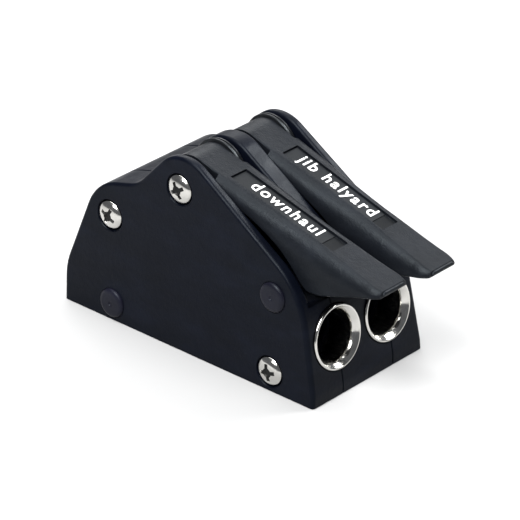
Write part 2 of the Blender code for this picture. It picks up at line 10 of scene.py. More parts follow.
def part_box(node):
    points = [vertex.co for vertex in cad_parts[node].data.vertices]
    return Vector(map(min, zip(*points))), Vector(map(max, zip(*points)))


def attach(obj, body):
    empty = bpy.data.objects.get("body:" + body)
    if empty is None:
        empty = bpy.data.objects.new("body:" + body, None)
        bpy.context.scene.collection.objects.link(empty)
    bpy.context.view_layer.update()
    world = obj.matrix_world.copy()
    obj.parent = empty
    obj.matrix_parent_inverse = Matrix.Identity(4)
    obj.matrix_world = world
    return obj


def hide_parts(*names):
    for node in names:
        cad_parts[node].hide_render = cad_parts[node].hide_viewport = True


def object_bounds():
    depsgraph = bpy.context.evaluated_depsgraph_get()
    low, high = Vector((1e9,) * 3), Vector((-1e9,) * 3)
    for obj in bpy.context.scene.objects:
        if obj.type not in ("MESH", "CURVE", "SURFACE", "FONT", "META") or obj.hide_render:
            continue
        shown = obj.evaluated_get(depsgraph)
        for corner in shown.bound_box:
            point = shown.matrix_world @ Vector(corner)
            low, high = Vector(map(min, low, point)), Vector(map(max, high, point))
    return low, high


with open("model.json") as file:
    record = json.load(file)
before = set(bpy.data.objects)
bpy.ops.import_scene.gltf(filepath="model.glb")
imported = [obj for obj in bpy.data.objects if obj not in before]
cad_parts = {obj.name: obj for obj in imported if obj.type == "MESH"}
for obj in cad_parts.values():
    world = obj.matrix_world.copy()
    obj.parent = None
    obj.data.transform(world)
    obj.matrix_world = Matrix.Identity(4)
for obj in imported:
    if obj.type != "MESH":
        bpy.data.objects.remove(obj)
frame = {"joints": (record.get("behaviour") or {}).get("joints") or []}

cad_low, cad_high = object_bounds()

MM = 0.001
GAP = 0.3                     # clearance between neighbouring pieces
SIDES = {"near": -1.0, "far": 1.0}
ENDS = ("front", "rear")
HOUSING = "housing"
ACROSS = (0, 1, 0)            # the axles' direction

# ---------------------------------------------------------------- places read from the frame
JOINTS = {joint["name"]: joint for joint in frame["joints"]}
LEVER_PIN = Vector(JOINTS["far_lever_open"]["pos_m"]) / MM
CAM_PIN = Vector(JOINTS["far_cam_lift"]["pos_m"]) / MM
PIVOT = (LEVER_PIN.x, LEVER_PIN.z)
CAM_PIVOT = (CAM_PIN.x, CAM_PIN.z)
MODULE_Y = LEVER_PIN.y


def centre(node):
    """The middle of a CAD node's box, in millimetres."""
    low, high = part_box(node)
    return (low + high) / 2 / MM


SHELL_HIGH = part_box("side_shell_far")[1] / MM
HALF_LENGTH = SHELL_HIGH.x
BASE_HALF_WIDTH = SHELL_HIGH.y
TIE_POINT = (centre("tie_rod").x, centre("tie_rod").z)
SCREW_POINTS = {"pivot": PIVOT, "rear": CAM_PIVOT, "front": TIE_POINT}
PLUG_POINTS = {end: (centre("locating_plug_%s_far" % end).x, centre("locating_plug_%s_far" % end).z)
               for end in ENDS}
INSERT = centre("deck_insert_front_far")

# ---------------------------------------------------------------- driving sizes
SIDE_DRAFT = 0.041            # inward lean of the side walls per unit of height
CAVITY_HALF = 9.7             # half width of each lever slot
SIDE_EDGE = 1.3               # rounding of the body's outer edges
CORNER_EDGE = 1.9             # the same down the winch end's upright corners
CORNER_START = 46.0           # where the wider rounding begins, along X
CORNER_BLEND = 10.0           # the length over which it grows
FOOT_BLEND = 9.0              # the height over which it grows from the underside
SLOT_EDGE = 1.2               # rounding of the slots' mouths
SLOT_LOWEST = 30.0            # the slots' mouths all lie above this height
SEAM = 0.22                   # bevel along the parting planes
ROPE_Z = 21.4                 # height of the rope channel's axis
CHANNEL_RADIUS = 8.9
CHANNEL_LENGTH = 108.0        # between the seats of the rope rings
FLOOR_Z = 12.5
HOLE_END = 10.0               # the side holes run in to this distance from the middle

HUB_RADIUS = 10.75
HUB_HALF = 6.6
LEVER_SLOPE = math.radians(15.05)
FAR_LEVER_DIP = math.radians(2.0)   # the second lever rests a little lower
HOLLOW_WALL = 2.2             # thickness of the hollow blade
HOLLOW_SPAN = (14.0, 75.0)    # where the hollow begins and ends, along X
HOLLOW_LOW = 30.0             # a height below the whole blade
HEEL_HALF = 4.0
LABEL_START = 13.7            # along the lever from the axle
LABEL_LENGTH = 48.6
LABEL_HALF = 3.75
LABEL_SUNK = 0.65             # how far the label lies below the lever's top
RECESS_DEPTH = 1.2
TAB_LENGTH = 5.4              # dark stepped end of the label, where a nail lifts it
TAB_STEP = 0.32
TAB_THICK = 0.12              # the dark piece that lies in the step
WORD_SIZE = 7.1
WORD_WEIGHT = 0.09            # outward growth of the letters' strokes
WORD_THICK = 0.04
WORD_SPACING = 1.2
WORD_SHIFT = -1.0             # from the label's middle, along the lever
WORD_BASE = -1.75             # the letters' base line, across the lever

CAM_HALF = 6.5
CAM_HUB_RADIUS = 6.0
GRIP_ANGLE = math.radians(34.0)     # from straight down to the gripping point
GRIP_RADIUS = 26.4
TEETH = 15
TOOTH_START = 12.0            # degrees from straight down to the first tooth
TOOTH_SPAN = 50.0             # degrees of the grip curve that carry teeth
TOOTH_DEPTH = 0.8
HORN = (-7.0, 33.1)
HEEL = (-6.0, 39.4)
NOSE_RADIUS = 3.0
PEG = (-22.0, 38.4)           # the peg that the spring lifts
PEG_RADIUS = 1.3
PEG_REACH = 2.4               # how far the peg stands out of the cam
SPRING_Y = 9.0                # the coil's first turn, out from the module's middle
SPRING_COIL = 5.3
SPRING_WIRE = 0.45
SPRING_TURNS = 1.75
SPRING_WIDTH = 1.9            # the coil's length along the axle
SPRING_LEG = 17.5             # from the axle to the end under the peg
SPRING_TAIL = (0.6, -8.0)     # the other leg's run along X and Z

JAW_X = -14.0                 # the jaw plate's middle
JAW_LENGTH = 38.0
JAW_HALF = 9.1
JAW_DEPTH = 2.0
JAW_RIBS = 14
RIB_HEIGHT = 0.65

BUSH_RADIUS = 5.9
BUSH_HALF = 6.4
WASHER_RADII = {-1.0: 10.2, 1.0: 11.8}       # on the hubs' -Y and +Y faces
WASHER_FACES = (6.95, 9.15)
SPACER_RADIUS = 5.8
SPACER_FACES = (6.9, 9.3)
AXLE_RADIUS = 4.5
CAM_AXLE_RADIUS = 4.0
TIE_RADIUS = 3.5
AXLE_HALF = 22.9
TIE_HALF = 21.0
SCREW_HEAD_RADIUS = 5.55
SCREW_SHANK_RADIUS = 3.0
SCREW_LENGTHS = {"pivot": 11.5, "rear": 11.5, "front": 15.0}
THREAD_DEPTH = 9.0
CROSS_CORE = 1.75             # radius of the cross recess's core
CROSS_REACH = 3.1             # reach of the recess's wings
CROSS_HALF = 0.7              # half thickness of the wings
CROSS_TAPER = 0.114           # how fast the recess widens upwards
CROSS_HEIGHT = 0.6            # where it has these sizes, out from the body's side
PLUG_RADIUS = 5.7
PLUG_HEAD = 1.5               # depth of the plug's head in its seat
PLUG_SHANK = 2.6
PLUG_END = 8.0                # the plug's inner end, from the middle of the body
RING_RADIUS = 12.1
RING_BORE = 8.7
RING_BARREL = 10.2
RING_FLANGE = 2.0
RING_LENGTH = 12.0
# Where each end's rings sit along X, and the angle at which they face.
RINGS = {"front": (57.8, math.radians(9.0)), "rear": (-58.5, math.radians(180.0 - 16.5))}
INSERT_RADIUS = 4.0
INSERT_TOP = 8.0
INSERT_BORE = 2.5


# ---------------------------------------------------------------- outlines
def arc(middle, radius, start, end, steps):
    """Points on an arc in the XZ plane, angles in degrees from +X."""
    points = []
    for step in range(steps + 1):
        angle = math.radians(start + (end - start) * step / steps)
        points.append((middle[0] + radius * math.cos(angle), middle[1] + radius * math.sin(angle)))
    return points


def rounded(corners, step_degrees=3.5):
    """A closed outline from (x, z, radius) corners, each corner filleted by its radius."""
    outline = []
    for index, (x, z, radius) in enumerate(corners):
        corner = Vector((x, z))
        if radius == 0:
            outline.append((x, z))
            continue
        back = (Vector(corners[index - 1][:2]) - corner).normalized()
        ahead = (Vector(corners[(index + 1) % len(corners)][:2]) - corner).normalized()
        half = back.angle(ahead) / 2
        middle = corner + (back + ahead).normalized() * radius / math.sin(half)
        first = corner + back * radius / math.tan(half) - middle
        turn = math.pi - 2 * half
        if first.x * ahead.y - first.y * ahead.x < 0:
            turn = -turn
        steps = max(2, round(math.degrees(abs(turn)) / step_degrees))
        for step in range(steps + 1):
            spun = Matrix.Rotation(turn * step / steps, 2) @ first
            outline.append(tuple(middle + spun))
    return outline


BODY_OUTLINE = rounded([
    (-HALF_LENGTH, 0.0, 0), (-HALF_LENGTH, 14.5, 26.0), (-46.0, 52.2, 20.0), (-25.7, 57.9, 12.0),
    (-5.0, 80.1, 15.5), (53.75, 42.0, 34.0), (HALF_LENGTH, 4.0, 15.0), (HALF_LENGTH, 0.0, 0)])
CHAMBER_OUTLINE = rounded([
    (-44.0, FLOOR_Z, 0), (30.0, FLOOR_Z, 0), (30.0, 42.4, 2.0), (70.0, 34.4, 0), (90.0, 100.0, 0),
    (-16.0, 100.0, 0), (-23.0, 59.0, 1.0), (-26.6, 54.2, 3.0), (-39.6, 49.9, 6.0),
    (-46.6, 42.0, 6.0), (-44.0, 31.0, 2.0)], 8.0)


def outward(outline):
    """Outward normals of an outline that runs up from the rear foot and down to the front one."""
    normals = []
    for index, point in enumerate(outline):
        before = Vector(point) - Vector(outline[index - 1])
        after = Vector(outline[(index + 1) % len(outline)]) - Vector(point)
        left = [Vector((-run.y, run.x)).normalized() for run in (before, after)]
        normal = left[0] + left[1]
        normals.append(normal / normal.dot(left[1]))
    normals[0] = Vector((-1.0, 0.0))
    normals[-1] = Vector((1.0, 0.0))
    return normals


# ---------------------------------------------------------------- mesh helpers
def linked(name, data):
    """A new object in the scene."""
    made = bpy.data.objects.new(name, data)
    bpy.context.scene.collection.objects.link(made)
    return made


def new_object(name, cage):
    """A new object from an edit mesh."""
    bmesh.ops.recalc_face_normals(cage, faces=cage.faces)
    mesh = bpy.data.meshes.new(name)
    cage.to_mesh(mesh)
    cage.free()
    return linked(name, mesh)


def shift(x, y, z):
    """A matrix that moves by millimetres."""
    return Matrix.Translation(Vector((x, y, z)) * MM)


def bevel(cage, edges, width, segments, clamp=True):
    """Round edges of an edit mesh by a width in millimetres."""
    bmesh.ops.bevel(cage, geom=edges, offset=width * MM, segments=segments, profile=0.5,
                    affect="EDGES", clamp_overlap=clamp)


def loft(name, rings):
    """A closed skin over rings of equally many points, in millimetres, capped at both ends."""
    cage = bmesh.new()
    made = [[cage.verts.new(Vector(point) * MM) for point in ring] for ring in rings]
    for first, second in zip(made, made[1:]):
        for index in range(len(first)):
            ahead = (index + 1) % len(first)
            cage.faces.new((first[index], first[ahead], second[ahead], second[index]))
    cage.faces.new(made[0])
    cage.faces.new(made[-1])
    return new_object(name, cage)


def plate(name, outline, low, high, edge=0.0, segments=3):
    """An outline in XZ extruded along Y, with its rims rounded."""
    cage = bmesh.new()
    near = [cage.verts.new(Vector((x, low, z)) * MM) for x, z in outline]
    far = [cage.verts.new(Vector((x, high, z)) * MM) for x, z in outline]
    caps = [cage.faces.new(near), cage.faces.new(far)]
    for index in range(len(outline)):
        ahead = (index + 1) % len(outline)
        cage.faces.new((near[index], near[ahead], far[ahead], far[index]))
    if edge:
        bevel(cage, [rim for cap in caps for rim in cap.edges], edge, segments)
    return new_object(name, cage)


def turned(name, profile, steps=64, closed=False):
    """A profile of (radius, height) pairs turned about Z."""
    cage = bmesh.new()
    loops = []
    for radius, height in profile:
        if radius < 1e-6:
            loops.append([cage.verts.new((0.0, 0.0, height * MM))])
            continue
        loop = []
        for step in range(steps):
            angle = 2 * math.pi * step / steps
            place = Vector((radius * math.cos(angle), radius * math.sin(angle), height))
            loop.append(cage.verts.new(place * MM))
        loops.append(loop)
    pairs = list(zip(loops, loops[1:]))
    if closed:
        pairs.append((loops[-1], loops[0]))
    for first, second in pairs:
        for index in range(steps):
            ahead = (index + 1) % steps
            corners = [first[index % len(first)], first[ahead % len(first)],
                       second[ahead % len(second)], second[index % len(second)]]
            unique = list(dict.fromkeys(corners))
            if len(unique) > 2:
                cage.faces.new(unique)
    return new_object(name, cage)


def aim(made, x, y, z, direction):
    """Put a turned piece's origin at x, y, z and its +Z along a direction, in its mesh."""
    turn = Vector(direction).to_track_quat("Z", "Y").to_matrix().to_4x4()
    made.data.transform(shift(x, y, z) @ turn)
    return made


def rod(name, radius, length, edge=0.0, steps=64):
    """A round bar along Z about its own middle, with its ends' rims bevelled."""
    half = length / 2
    rims = [(radius, half), (radius, -half)]
    if edge:
        rims = [(radius - edge, half), (radius, half - edge), (radius, edge - half), (radius - edge, -half)]
    return turned(name, [(0.0, half)] + rims + [(0.0, -half)], steps)


def tube(name, outer, inner, low, high, edge=0.2, steps=64):
    """A round tube along Z between two heights, with its rims bevelled."""
    return turned(name, [
        (outer - edge, high), (outer, high - edge), (outer, low + edge), (outer - edge, low),
        (inner + edge, low), (inner, low + edge), (inner, high - edge), (inner + edge, high)],
        steps, closed=True)


def block(name, size, matrix, edge=0.0, segments=3):
    """A box of a size in millimetres, placed by a matrix, with rounded edges."""
    cage = bmesh.new()
    bmesh.ops.create_cube(cage, size=1.0)
    bmesh.ops.scale(cage, vec=Vector(size) * MM, verts=cage.verts)
    if edge:
        bevel(cage, cage.edges[:], edge, segments)
    bmesh.ops.transform(cage, matrix=matrix, verts=cage.verts)
    return new_object(name, cage)


def worked_out(made):
    """The mesh of an object after its modifiers, or of its curve."""
    bpy.context.view_layer.update()
    graph = bpy.context.evaluated_depsgraph_get()
    return bpy.data.meshes.new_from_object(made.evaluated_get(graph))


def settle(made):
    """Apply an object's modifiers."""
    mesh = worked_out(made)
    made.modifiers.clear()
    made.data = mesh


def from_curve(name, curve):
    """A mesh object the shape of a curve or a word."""
    line = linked(name + "_line", curve)
    mesh = worked_out(line)
    bpy.data.objects.remove(line)
    return linked(name, mesh)


def change(target, tool, operation="DIFFERENCE"):
    """Cut a piece by a tool or join the tool on, then remove the tool."""
    boolean = target.modifiers.new("Change", "BOOLEAN")
    boolean.operation = operation
    boolean.object = tool
    boolean.solver = "EXACT"
    settle(target)
    bpy.data.objects.remove(tool)


def round_sharp_edges(made, width, chosen):
    """Round an object's outward sharp edges, those that a test picks by their two ends."""
    cage = bmesh.new()
    cage.from_mesh(made.data)
    picked = []
    for edge in cage.edges:
        if len(edge.link_faces) != 2 or not edge.is_convex:
            continue
        ends = [vertex.co / MM for vertex in edge.verts]
        if edge.calc_face_angle() > math.radians(32.0) and chosen(*ends):
            picked.append(edge)
    bevel(cage, picked, width, 4, clamp=False)
    cage.to_mesh(made.data)
    cage.free()


# ---------------------------------------------------------------- materials
class Look:
    """A node material built round one Principled shader, with helpers for its texture nodes."""

    def __init__(self, name, roughness, metallic=0.0, specular=0.5, tint=(1.0, 1.0, 1.0)):
        self.material = bpy.data.materials.new(name)
        self.material.use_nodes = True
        self.tree = self.material.node_tree
        self.shader = self.tree.nodes["Principled BSDF"]
        self.shader.inputs["Roughness"].default_value = roughness
        self.shader.inputs["Metallic"].default_value = metallic
        self.shader.inputs["Specular IOR Level"].default_value = specular
        self.shader.inputs["Specular Tint"].default_value = (*tint, 1.0)
        self.place = self.tree.nodes.new("ShaderNodeTexCoord").outputs["Object"]

    def join(self, source, target):
        """Link an output to an input."""
        self.tree.links.new(source, target)

    def stretched(self, scale):
        """The place on the piece, scaled along each axis."""
        mapping = self.tree.nodes.new("ShaderNodeMapping")
        mapping.inputs["Scale"].default_value = scale
        self.join(self.place, mapping.inputs["Vector"])
        return mapping.outputs["Vector"]

    def noise(self, scale, detail=3.0, place=None, roughness=0.55):
        """Noise between 0 and 1, its scale in cells per metre."""
        node = self.tree.nodes.new("ShaderNodeTexNoise")
        node.inputs["Scale"].default_value = scale
        node.inputs["Detail"].default_value = detail
        node.inputs["Roughness"].default_value = roughness
        self.join(place or self.place, node.inputs["Vector"])
        return node.outputs["Fac"]

    def spread(self, value, low, high, start=0.3, end=0.7):
        """A value between start and end, spread over low to high."""
        node = self.tree.nodes.new("ShaderNodeMapRange")
        node.inputs["From Min"].default_value = start
        node.inputs["From Max"].default_value = end
        node.inputs["To Min"].default_value = low
        node.inputs["To Max"].default_value = high
        self.join(value, node.inputs["Value"])
        return node.outputs["Result"]

    def colours(self, value, stops):
        """A value turned into a colour by a ramp of (position, colour) stops."""
        ramp = self.tree.nodes.new("ShaderNodeValToRGB")
        elements = ramp.color_ramp.elements
        while len(elements) < len(stops):
            elements.new(0.5)
        for element, (position, colour) in zip(elements, stops):
            element.position = position
            element.color = (*colour, 1.0)
        self.join(value, ramp.inputs["Fac"])
        return ramp.outputs["Color"]

    def colour(self, socket):
        """Let an output set the base colour."""
        self.join(socket, self.shader.inputs["Base Color"])

    def rough(self, socket):
        """Let an output set the roughness."""
        self.join(socket, self.shader.inputs["Roughness"])

    def bumps(self, *layers):
        """Stacked bumps from (height, depth in millimetres) pairs."""
        normal = None
        for height, depth in layers:
            bump = self.tree.nodes.new("ShaderNodeBump")
            bump.inputs["Distance"].default_value = depth * MM
            self.join(height, bump.inputs["Height"])
            if normal:
                self.join(normal, bump.inputs["Normal"])
            normal = bump.outputs["Normal"]
        self.join(normal, self.shader.inputs["Normal"])


SHEEN = (0.82, 0.915, 0.975)  # tint of the plastics' shine: slightly cool


def shade(colour, factor):
    """A colour made darker or lighter."""
    return tuple(channel * factor for channel in colour)


def moulded(name, colour, roughness, specular, grain, depth):
    """Moulded plastic: fine spark-eroded grain, faint flow marks and uneven sheen."""
    look = Look(name, roughness, specular=specular, tint=SHEEN)
    flow = look.noise(55.0, 4.0, look.stretched((1.0, 1.0, 2.5)))
    stops = [(0.32, shade(colour, 0.78)), (0.52, colour), (0.72, shade(colour, 1.45))]
    look.colour(look.colours(flow, stops))
    fine = look.noise(grain, 2.0)
    look.rough(look.spread(look.noise(140.0, 5.0), roughness - 0.07, roughness + 0.09))
    look.bumps((fine, depth), (look.noise(grain * 0.23, 3.0), depth * 1.6), (flow, 0.05))
    return look.material


def printed(name, colour, roughness):
    """Screen ink on the label: slightly uneven cover."""
    look = Look(name, roughness, specular=0.35)
    cover = look.noise(900.0, 4.0)
    look.colour(look.colours(cover, [(0.25, shade(colour, 0.86)), (0.6, colour)]))
    look.rough(look.spread(cover, roughness - 0.08, roughness + 0.1))
    look.bumps((cover, 0.02))
    return look.material


def polished(name, colour, roughness):
    """Polished stainless steel with fine polishing lines and a few dull patches."""
    look = Look(name, roughness, metallic=1.0)
    lines = look.noise(420.0, 5.0, look.stretched((1.0, 6.0, 1.0)), 0.65)
    look.colour(look.colours(look.noise(210.0, 3.0), [(0.3, shade(colour, 0.86)), (0.65, colour)]))
    look.rough(look.spread(lines, roughness * 0.6, roughness * 1.7))
    look.bumps((lines, 0.006), (look.noise(95.0, 2.0), 0.012))
    return look.material


def cast(name, colour, roughness):
    """Bead-blasted stainless casting."""
    look = Look(name, roughness, metallic=1.0)
    stops = [(0.3, shade(colour, 0.7)), (0.7, shade(colour, 1.1))]
    look.colour(look.colours(look.noise(160.0, 4.0), stops))
    look.rough(look.spread(look.noise(700.0, 3.0), roughness - 0.08, roughness + 0.12))
    look.bumps((look.noise(1900.0, 2.0), 0.03), (look.noise(260.0, 3.0), 0.06))
    return look.material


def drawn(name, colour, roughness, along):
    """Bar or wire with lines along one axis from drawing or turning."""
    look = Look(name, roughness, metallic=1.0)
    lines = look.noise(900.0, 4.0, look.stretched(along), 0.6)
    look.colour(look.colours(lines, [(0.3, shade(colour, 0.8)), (0.7, shade(colour, 1.08))]))
    look.rough(look.spread(lines, roughness - 0.06, roughness + 0.12))
    look.bumps((lines, 0.012))
    return look.material


BODY_LOOK = moulded("body_plastic", (0.0018, 0.0025, 0.0054), 0.35, 0.078, 2300.0, 0.04)
LEVER_LOOK = moulded("lever_plastic", (0.0056, 0.0066, 0.0088), 0.38, 0.103, 2100.0, 0.08)
LABEL_LOOK = moulded("label_plastic", (0.0060, 0.0066, 0.0078), 0.46, 0.13, 3600.0, 0.012)
TAB_LOOK = moulded("tab_plastic", (0.0042, 0.0046, 0.0054), 0.5, 0.075, 3600.0, 0.012)
PLUG_LOOK = moulded("plug_plastic", (0.0050, 0.0050, 0.0098), 0.36, 0.14, 2600.0, 0.03)
BUSH_LOOK = moulded("bush_plastic", (0.52, 0.52, 0.50), 0.42, 0.45, 2400.0, 0.02)
WASHER_LOOK = moulded("washer_plastic", (0.0075, 0.0082, 0.0095), 0.34, 0.17, 2400.0, 0.01)
INK_LOOK = printed("label_ink", (0.74, 0.74, 0.73), 0.45)
# painted shade: a dark material for the pieces set into the screws' cross recesses, standing in for the
# shadow inside them
PAINTED_SHADE_LOOK = moulded("recess_painted_shade", (0.005, 0.0045, 0.004), 0.6, 0.2, 1500.0, 0.06)
BRIGHT_LOOK = polished("bright_steel", (0.60, 0.59, 0.56), 0.13)
CAST_LOOK = cast("cast_steel", (0.42, 0.42, 0.42), 0.38)
BAR_LOOK = drawn("bar_steel", (0.5, 0.5, 0.5), 0.3, (6.0, 0.6, 6.0))
WIRE_LOOK = drawn("spring_wire", (0.55, 0.54, 0.52), 0.3, (1.0, 5.0, 1.0))
BRASS_LOOK = drawn("brass", (0.60, 0.44, 0.21), 0.32, (2.0, 2.0, 9.0))


def finish(made, look, body, nodes=(), sharp=38.0):
    """Give a piece its material and smooth shading, hang it on its body, and hide the CAD nodes it stands
    for.
    """
    made.data.materials.clear()
    made.data.materials.append(look)
    made.data.shade_smooth()
    made.data.set_sharp_from_angle(angle=math.radians(sharp))
    weighted = made.modifiers.new("Flat_faces_stay_flat", "WEIGHTED_NORMAL")
    weighted.keep_sharp = True
    weighted.weight = 80
    settle(made)
    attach(made, body)
    if nodes:
        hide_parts(*nodes)


# ---------------------------------------------------------------- body mouldings
def half_width(z):
    """Outer half width of the body at a height."""
    return BASE_HALF_WIDTH - SIDE_DRAFT * z


def edge_radius(x, z):
    """The body's outer rounding: wider down the upright corners of the winch end."""
    ahead = min(max((x - CORNER_START) / CORNER_BLEND, 0.0), 1.0)
    ahead = ahead * ahead * (3 - 2 * ahead)
    foot = min(z / FOOT_BLEND, 1.0)
    return SIDE_EDGE + (CORNER_EDGE - SIDE_EDGE) * ahead * foot


NORMALS = outward(BODY_OUTLINE)


def inset_ring(y, inset):
    """The body's outline moved inwards, at one distance from the middle."""
    moved = [Vector(point) - normal * inset for point, normal in zip(BODY_OUTLINE, NORMALS)]
    return [(point.x, y, point.y) for point in moved]


def cut_rope_way(moulding, side, tag):
    """Tunnel, ring seats and jaw seat of one module, cut out of one moulding."""
    middle = side * MODULE_Y
    tunnel = rod("tunnel_" + tag, CHANNEL_RADIUS, CHANNEL_LENGTH)
    change(moulding, aim(tunnel, 0.0, middle, ROPE_Z, (1, 0, 0)))
    wide, narrow = RING_RADIUS + GAP, RING_BARREL + GAP
    for end in ENDS:
        seat = turned("ring_seat_%s_%s" % (end, tag), [
            (0.0, 9.0), (RING_RADIUS + 1.2, 9.0), (RING_RADIUS + 0.45, 0.35), (wide, -0.1),
            (wide, -RING_FLANGE - GAP), (narrow, -RING_FLANGE - GAP),
            (narrow, -RING_LENGTH - GAP), (0.0, -RING_LENGTH - GAP)], 72)
        change(moulding, aim(seat, RINGS[end][0], middle, ROPE_Z, ring_direction(end)))
    jaw_size = (JAW_LENGTH + 2 * GAP, 2 * (JAW_HALF + GAP), 2 * JAW_DEPTH)
    change(moulding, block("jaw_seat_" + tag, jaw_size, shift(JAW_X, middle, FLOOR_Z)))


def cut_chamber(moulding, side, tag):
    """The room for lever and cam in one module, with its slot through the roof."""
    middle = side * MODULE_Y
    chamber = plate("chamber_" + tag, CHAMBER_OUTLINE, middle - CAVITY_HALF, middle + CAVITY_HALF)
    change(moulding, chamber)


def ring_direction(end):
    """The way a rope ring faces: along its axis, out of the body."""
    return Vector((math.cos(RINGS[end][1]), 0.0, abs(math.sin(RINGS[end][1]))))


def at_slot_mouth(first, second):
    """Whether an edge belongs to a slot's mouth: high enough, and not along a parting plane."""
    if min(first.z, second.z) < SLOT_LOWEST:
        return False
    on_parting = any(abs(abs(end.y) - MODULE_Y) < 0.6 for end in (first, second))
    return not on_parting or abs(first.y - second.y) > 1.0


def side_shell(name, side):
    """One outer moulding: side wall, and its half of floor, ends and rear roof."""
    inner = side * (MODULE_Y + GAP / 2)
    rings = [inset_ring(inner, SEAM), inset_ring(inner + side * SEAM, 0.0)]
    steps = 7
    for step in range(steps + 1):
        angle = math.pi / 2 * step / steps
        ring = []
        for (x, z), normal in zip(BODY_OUTLINE, NORMALS):
            radius = edge_radius(x, z)
            moved = Vector((x, z)) - normal * radius * (1 - math.cos(angle))
            y = side * (half_width(moved.y) - radius * (1 - math.sin(angle)))
            ring.append((moved.x, y, moved.y))
        rings.append(ring)
    shell = loft("side_shell_" + name, rings)
    tag = "shell_" + name
    cut_chamber(shell, side, tag)
    round_sharp_edges(shell, SLOT_EDGE, at_slot_mouth)
    cut_rope_way(shell, side, tag)
    for point in SCREW_POINTS.values():
        face = half_width(point[1])
        deep = HOLE_END - face
        profile = [(0.0, 3.0), (SCREW_HEAD_RADIUS + 1.4, 3.0), (SCREW_HEAD_RADIUS + 0.8, 0.1),
                   (SCREW_HEAD_RADIUS + 0.55, -0.15), (SCREW_HEAD_RADIUS + 0.5, -0.9),
                   (SCREW_SHANK_RADIUS + GAP, -2.5)]
        if point == TIE_POINT:
            pocket = TIE_HALF + GAP - face
            profile += [(SCREW_SHANK_RADIUS + GAP, pocket), (TIE_RADIUS + GAP, pocket)]
        profile += [(profile[-1][0], deep), (0.0, deep)]
        hole = turned("screw_hole_" + tag, profile, 56)
        change(shell, aim(hole, point[0], side * face, point[1], (0, side, 0)))
    mouth, shank = PLUG_RADIUS + 0.16, PLUG_SHANK + GAP
    for x, z in PLUG_POINTS.values():
        face = half_width(z)
        seat = turned("plug_hole_" + tag, [
            (0.0, 3.0), (mouth, 3.0), (mouth, -0.15), (PLUG_RADIUS + GAP, -0.3),
            (PLUG_RADIUS + GAP, -PLUG_HEAD - GAP), (shank, -PLUG_HEAD - GAP),
            (shank, HOLE_END - face), (0.0, HOLE_END - face)], 56)
        change(shell, aim(seat, x, side * face, z, (0, side, 0)))
    finish(shell, BODY_LOOK, HOUSING, ["side_shell_" + name])


def centre_body():
    """The middle moulding: the divider, and its half of each module's floor and ends."""
    half = MODULE_Y - GAP / 2
    rings = [inset_ring(y, inset) for y, inset in
             ((-half, SEAM), (SEAM - half, 0.0), (half - SEAM, 0.0), (half, SEAM))]
    body = loft("centre_body", rings)
    for side_name, side in SIDES.items():
        cut_chamber(body, side, "centre_" + side_name)
    round_sharp_edges(body, SLOT_EDGE, at_slot_mouth)
    for side_name, side in SIDES.items():
        cut_rope_way(body, side, "centre_" + side_name)
    bars = ((PIVOT, AXLE_RADIUS), (CAM_PIVOT, CAM_AXLE_RADIUS), (TIE_POINT, TIE_RADIUS))
    for (x, z), radius in bars:
        change(body, aim(rod("bar_hole", radius + GAP, 80.0), x, 0.0, z, ACROSS))
    socket_start, socket_end = PLUG_END - GAP, 40.0
    for x, z in PLUG_POINTS.values():
        for side in SIDES.values():
            socket = rod("plug_socket", PLUG_SHANK + GAP, socket_end - socket_start)
            change(body, aim(socket, x, side * (socket_start + socket_end) / 2, z, ACROSS))
    for along in (1.0, -1.0):
        for side in SIDES.values():
            hole = rod("insert_hole", INSERT_RADIUS + GAP, 2 * (INSERT_TOP + GAP))
            change(body, aim(hole, along * INSERT.x, side * INSERT.y, 0.0, (0, 0, 1)))
    finish(body, BODY_LOOK, HOUSING, ["centre_body"])


# ---------------------------------------------------------------- levers
def lever_top(x):
    """Height of the lever's flat top above a point x, tangent to the hub."""
    along = (x - PIVOT[0]) * math.sin(LEVER_SLOPE)
    return PIVOT[1] + (HUB_RADIUS - along) / math.cos(LEVER_SLOPE)


# Each section of the lever's blade: x, half width of the flat top, fullness of the flank's
# curve, its depth, full half width, and height of the lower rim.
BLADE = [
    (8.2, 6.0, 0.4, 2.8, 9.4, 61.6), (14.0, 5.3, 0.5, 3.6, 9.4, 61.6),
    (22.0, 4.6, 0.55, 4.2, 9.4, 61.0), (31.0, 4.2, 0.55, 5.4, 9.4, 57.2),
    (40.0, 4.2, 0.55, 7.0, 9.4, 51.6), (44.5, 4.2, 0.55, 7.6, 9.4, 47.4),
    (48.0, 4.2, 0.55, 7.9, 9.4, 43.4), (50.5, 4.2, 0.55, 8.0, 9.4, 41.1),
    (54.5, 4.4, 0.55, 7.8, 9.4, 40.6), (61.0, 4.8, 0.5, 7.0, 9.35, 42.0),
    (68.0, 5.1, 0.45, 6.0, 9.2, 44.3), (75.0, 5.6, 0.4, 4.4, 8.8, 46.4),
    (80.5, 5.9, 0.35, 2.6, 8.1, 47.8), (82.6, 5.4, 0.3, 1.7, 6.9, 48.3),
    (83.4, 4.6, 0.3, 1.2, 5.8, 48.6)]
NECK_HALF = HUB_HALF - 0.02
NECK = [(-1.5, 5.9, 0.5, 0.7, NECK_HALF, 60.0), (7.7, 5.9, 0.5, 0.7, NECK_HALF, 60.0)]
NOSE = 0.7                    # length of the rounding at the lever's tip
LIP = 0.9                     # rounding of the blade's lower rim


def blade_shape(x):
    """The blade's section values at x, on a smooth curve through the given sections."""
    xs = np.array([row[0] for row in BLADE])
    rows = np.array([row[1:] for row in BLADE])
    slopes = np.gradient(rows, xs, axis=0)
    after = min(max(int(np.searchsorted(xs, x)), 1), len(xs) - 1)
    before = after - 1
    span = xs[after] - xs[before]
    share = (x - xs[before]) / span
    ease = share * share * (3 - 2 * share)
    bend_start = share * (1 - share) ** 2
    bend_end = -share * share * (1 - share)
    return (rows[before] * (1 - ease) + rows[after] * ease
            + span * (slopes[before] * bend_start + slopes[after] * bend_end))


